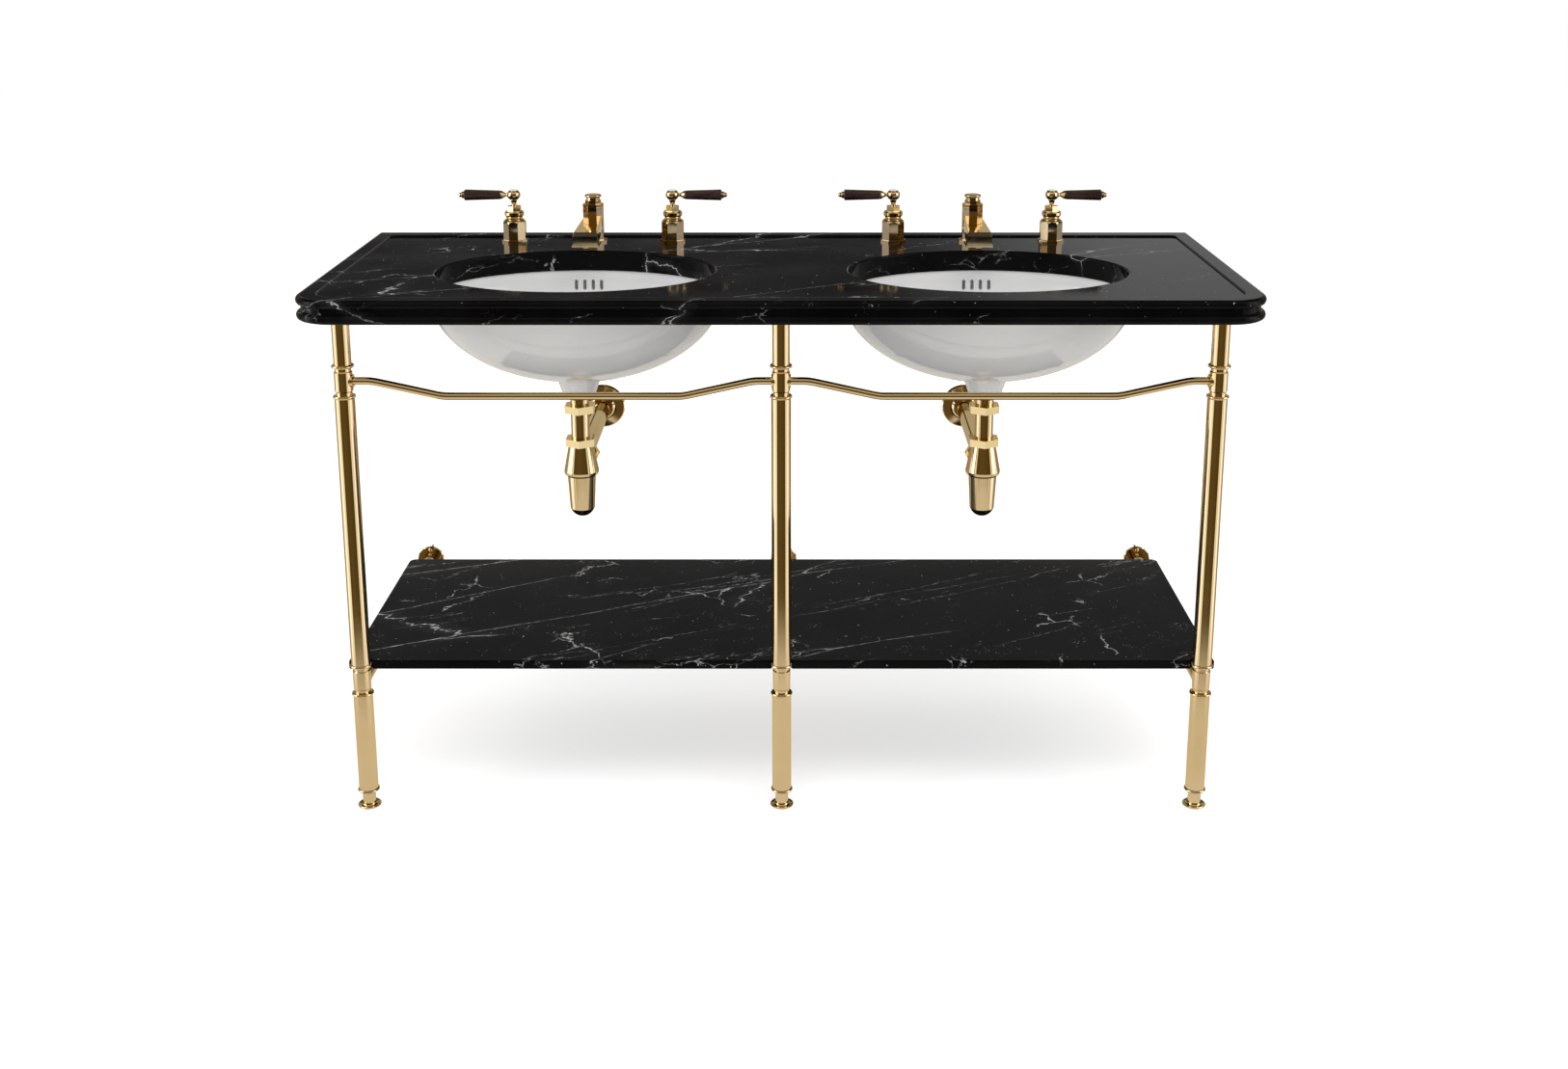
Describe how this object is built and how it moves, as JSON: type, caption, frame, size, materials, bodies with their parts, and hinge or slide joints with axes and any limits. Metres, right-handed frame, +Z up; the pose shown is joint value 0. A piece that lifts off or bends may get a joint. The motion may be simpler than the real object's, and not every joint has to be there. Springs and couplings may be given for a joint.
{
  "type": "console sink with legs",
  "caption": "Double console sink: black marble top with two undermount oval basins, lever taps, brass legs and front rails, lower marble shelf, bottle traps to the wall.",
  "frame": {"origin": "on the floor, below the middle of the whole object's box", "axes": "+X to the right along the front, +Y towards the wall, +Z up"},
  "size_m": [1.524, 0.64, 0.9744],
  "materials": {
    "black_marble": "polished, pale veins",
    "white_glaze": "gloss glaze",
    "porcelain": "gloss",
    "ebony": "satin polish",
    "zinc_steel": "zinc plated",
    "drawn_steel": "drawn",
    "polished_brass": "polished"
  },
  "bodies": {
    "console": {"basin_clips": "zinc_steel", "basin_left": "white_glaze", "basin_right": "white_glaze", "front_rail_left": "polished_brass", "front_rail_right": "polished_brass", "leg_feet": "polished_brass", "leg_top_plates": "polished_brass", "lower_leg_centre": "polished_brass", "lower_leg_left": "polished_brass", "lower_leg_right": "polished_brass", "main_leg_centre": "polished_brass", "main_leg_left": "polished_brass", "main_leg_right": "polished_brass", "marble_shelf": "black_marble", "marble_top": "black_marble", "pipe_nuts": "polished_brass", "rail_tee_centre": "polished_brass", "rail_tee_left": "polished_brass", "rail_tee_right": "polished_brass", "shelf_bearers": "polished_brass", "shelf_tee_centre": "polished_brass", "shelf_tee_left": "polished_brass", "shelf_tee_right": "polished_brass", "shelf_wall_flanges": "polished_brass", "spout_left": "polished_brass", "spout_right": "polished_brass", "top_wall_brackets": "zinc_steel", "trap_bell_left": "polished_brass", "trap_bell_right": "polished_brass", "trap_cup_left": "polished_brass", "trap_cup_right": "polished_brass", "trap_pipes": "polished_brass", "trap_wall_flanges": "polished_brass", "upper_legs": "polished_brass", "valve_left_inner": "polished_brass", "valve_left_outer": "polished_brass", "valve_right_inner": "polished_brass", "valve_right_outer": "polished_brass", "wall_screws": "polished_brass", "waste_left": "polished_brass", "waste_nuts": "polished_brass", "waste_right": "polished_brass"},
    "lever_left_outer": {"handle_left_outer": "polished_brass", "grip_left_outer": "ebony", "button_left_outer": "porcelain"},
    "lever_left_inner": {"handle_left_inner": "polished_brass", "grip_left_inner": "ebony", "button_left_inner": "porcelain"},
    "lever_right_inner": {"handle_right_inner": "polished_brass", "grip_right_inner": "ebony", "button_right_inner": "porcelain"},
    "lever_right_outer": {"handle_right_outer": "polished_brass", "grip_right_outer": "ebony", "button_right_outer": "porcelain"},
    "lift_left": {"lift_rod_left": "polished_brass"},
    "pivot_left": {"pivot_rod_left": "drawn_steel"},
    "stopper_left": {"plug_left": "polished_brass"},
    "lift_right": {"lift_rod_right": "polished_brass"},
    "pivot_right": {"pivot_rod_right": "drawn_steel"},
    "stopper_right": {"plug_right": "polished_brass"}
  },
  "joints": [
    {"name": "left_outer_lever_turn", "type": "hinge", "parent": "console", "child": "lever_left_outer", "pos_m": [-0.492, 0.214, 0.963], "axis": [0, 0, 1], "range_deg": [0, 90]},
    {"name": "left_inner_lever_turn", "type": "hinge", "parent": "console", "child": "lever_left_inner", "pos_m": [-0.202, 0.214, 0.963], "axis": [0, 0, 1], "range_deg": [-90, 0]},
    {"name": "right_inner_lever_turn", "type": "hinge", "parent": "console", "child": "lever_right_inner", "pos_m": [0.202, 0.214, 0.963], "axis": [0, 0, 1], "range_deg": [0, 90]},
    {"name": "right_outer_lever_turn", "type": "hinge", "parent": "console", "child": "lever_right_outer", "pos_m": [0.492, 0.214, 0.963], "axis": [0, 0, 1], "range_deg": [-90, 0]},
    {"name": "left_knob_lift", "type": "slide", "parent": "console", "child": "lift_left", "axis": [0, 0, 1], "range_m": [0, 0.045]},
    {"name": "left_pivot_swing", "type": "hinge", "parent": "console", "child": "pivot_left", "pos_m": [-0.347, -0.026, 0.64925], "axis": [1, 0, 0], "range_deg": [0, 10.8]},
    {"name": "left_plug_drop", "type": "slide", "parent": "console", "child": "stopper_left", "axis": [0, 0, 1], "range_m": [-0.0061, 0]},
    {"name": "right_knob_lift", "type": "slide", "parent": "console", "child": "lift_right", "axis": [0, 0, 1], "range_m": [0, 0.045]},
    {"name": "right_pivot_swing", "type": "hinge", "parent": "console", "child": "pivot_right", "pos_m": [0.347, -0.026, 0.64925], "axis": [1, 0, 0], "range_deg": [0, 10.8]},
    {"name": "right_plug_drop", "type": "slide", "parent": "console", "child": "stopper_right", "axis": [0, 0, 1], "range_m": [-0.0061, 0]}
  ],
  "couplings": [
    {"joint": "left_pivot_swing", "follows": "left_knob_lift", "rad_per_m": 4.1545},
    {"joint": "left_plug_drop", "follows": "left_knob_lift", "ratio": -0.13333},
    {"joint": "right_pivot_swing", "follows": "right_knob_lift", "rad_per_m": 4.1545},
    {"joint": "right_plug_drop", "follows": "right_knob_lift", "ratio": -0.13333}
  ]
}
